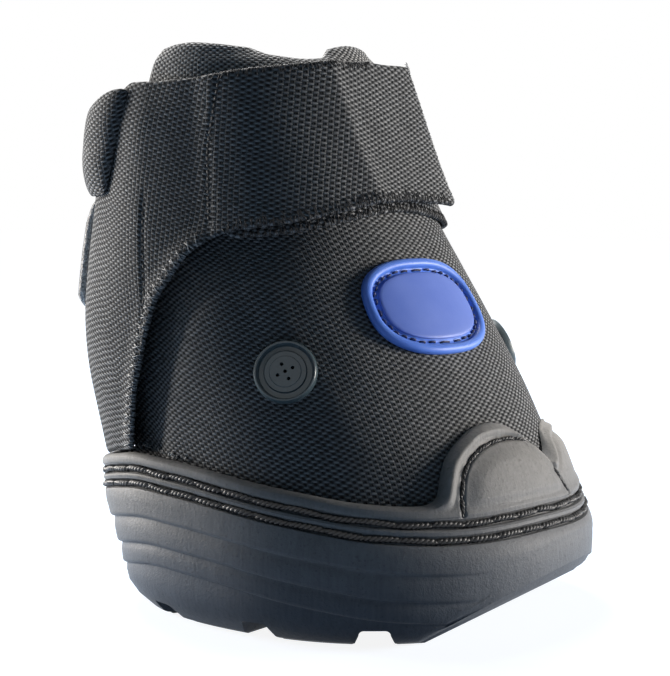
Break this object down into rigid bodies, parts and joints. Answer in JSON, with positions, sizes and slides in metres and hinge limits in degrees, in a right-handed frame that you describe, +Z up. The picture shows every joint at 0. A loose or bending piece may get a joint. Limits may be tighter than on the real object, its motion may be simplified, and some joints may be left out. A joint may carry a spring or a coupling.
{
  "type": "horse hoof boot",
  "caption": "Slip-on boot for a horse's hoof: rubber shell with treaded sole, padded fabric upper, fold-back heel, wrap strap and rear pull tab.",
  "frame": {"origin": "centre of the boot's outline on the ground plane", "axes": "+Z up, -Y towards the toe, +X towards the wearer's left"},
  "size_m": [0.159, 0.1847, 0.1949],
  "materials": {
    "shell_rubber": "moulded, fine grain, satin",
    "outer_fabric": "coarse basket-woven nylon",
    "lining_fabric": "knit over thin padding",
    "thread": "waxed sewing thread",
    "hook_tape": "hook fastener tape",
    "loop_tape": "loop fastener tape",
    "insole_foam": "closed-cell foam",
    "badge_rubber": "soft moulded, satin",
    "vent_rubber": "moulded, satin"
  },
  "bodies": {
    "foot_unit": {"sole_shell": "shell_rubber", "insole_pad": "insole_foam", "vamp_panel": "outer_fabric", "vamp_lining": "lining_fabric", "tongue_collar": "outer_fabric", "vent_right_cap": "vent_rubber", "vent_right_washer": "vent_rubber", "vent_left_cap": "vent_rubber", "vent_left_washer": "vent_rubber", "badge": "badge_rubber", "badge_thread": "thread", "rim_thread_upper": "thread", "rim_thread_lower": "thread", "toe_cap_thread": "thread", "heel_foot": "lining_fabric"},
    "heel_unit": {"heel_panel": "outer_fabric", "heel_lining": "lining_fabric", "heel_collar": "outer_fabric", "wing_right": "outer_fabric", "wing_left": "outer_fabric"},
    "strap_unit": {"strap": "outer_fabric", "hook_patch": "hook_tape"},
    "flap_unit": {"closure_flap": "outer_fabric", "loop_patch": "loop_tape"},
    "tab_unit": {"pull_tab": "outer_fabric"}
  },
  "joints": [
    {"name": "heel_fold", "type": "hinge", "parent": "foot_unit", "child": "heel_unit", "pos_m": [0, 0.07357, 0.04876], "axis": [-1, 0, 0], "range_deg": [0, 45.5]},
    {"name": "strap_open", "type": "hinge", "parent": "heel_unit", "child": "strap_unit", "pos_m": [-0.06858, 0.01976, 0.10672], "axis": [-0.224, -0.2232, -0.9487], "range_deg": [0, 150]},
    {"name": "flap_open", "type": "hinge", "parent": "heel_unit", "child": "flap_unit", "pos_m": [0.06858, 0.01976, 0.10672], "axis": [-0.224, 0.2232, 0.9487], "range_deg": [0, 105.5]},
    {"name": "pull_tab_lift", "type": "hinge", "parent": "heel_unit", "child": "tab_unit", "pos_m": [0, 0.09072, 0.1394], "axis": [1, 0, 0], "range_deg": [0, 70]}
  ],
  "couplings": [
    {"joint": "heel_fold", "follows": "strap_open", "ratio": 0.3},
    {"joint": "flap_open", "follows": "strap_open", "ratio": 0.7}
  ]
}
